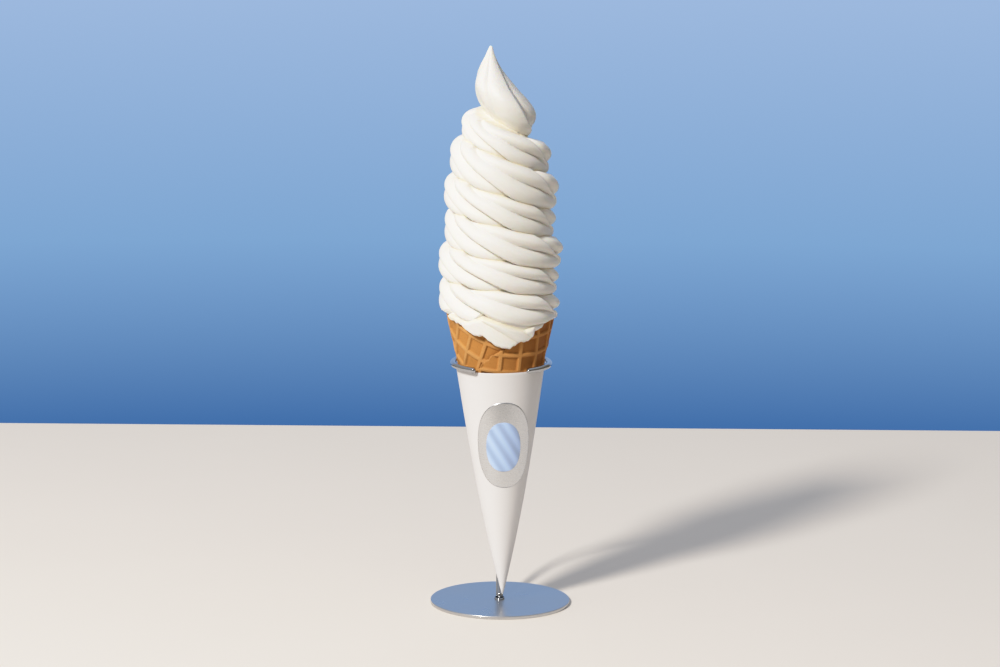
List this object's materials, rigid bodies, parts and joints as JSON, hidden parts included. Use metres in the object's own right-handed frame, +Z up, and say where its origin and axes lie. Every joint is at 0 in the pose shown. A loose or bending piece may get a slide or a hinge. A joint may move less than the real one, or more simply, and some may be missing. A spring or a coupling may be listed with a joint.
{
  "type": "soft serve cone",
  "caption": "Tall soft serve swirl in a rolled wafer cone with a paper sleeve, held upright in a C ring on a bowed rod over a flat steel disc.",
  "frame": {"origin": "centre of the whole's bounding box, on the underside of the disc", "axes": "+Z up, -Y towards the shown front with the ring's opening, +X to the right of that view"},
  "size_m": [0.075, 0.086, 0.3005],
  "materials": {
    "soft_serve": "soft, faintly moist milk ice with a fine grain",
    "wafer": "baked wafer, matte, with paler ribs",
    "sleeve_paper": "smooth white card with a foil patch",
    "bright_steel": "polished",
    "rod_steel": "polished",
    "satin_steel": "satin"
  },
  "bodies": {
    "root": {"soft_serve": "soft_serve", "wafer_cone": "wafer", "paper_sleeve": "sleeve_paper", "stand_ring": "bright_steel", "stand_rod": "rod_steel", "stand_disc": "satin_steel"}
  },
  "joints": []
}
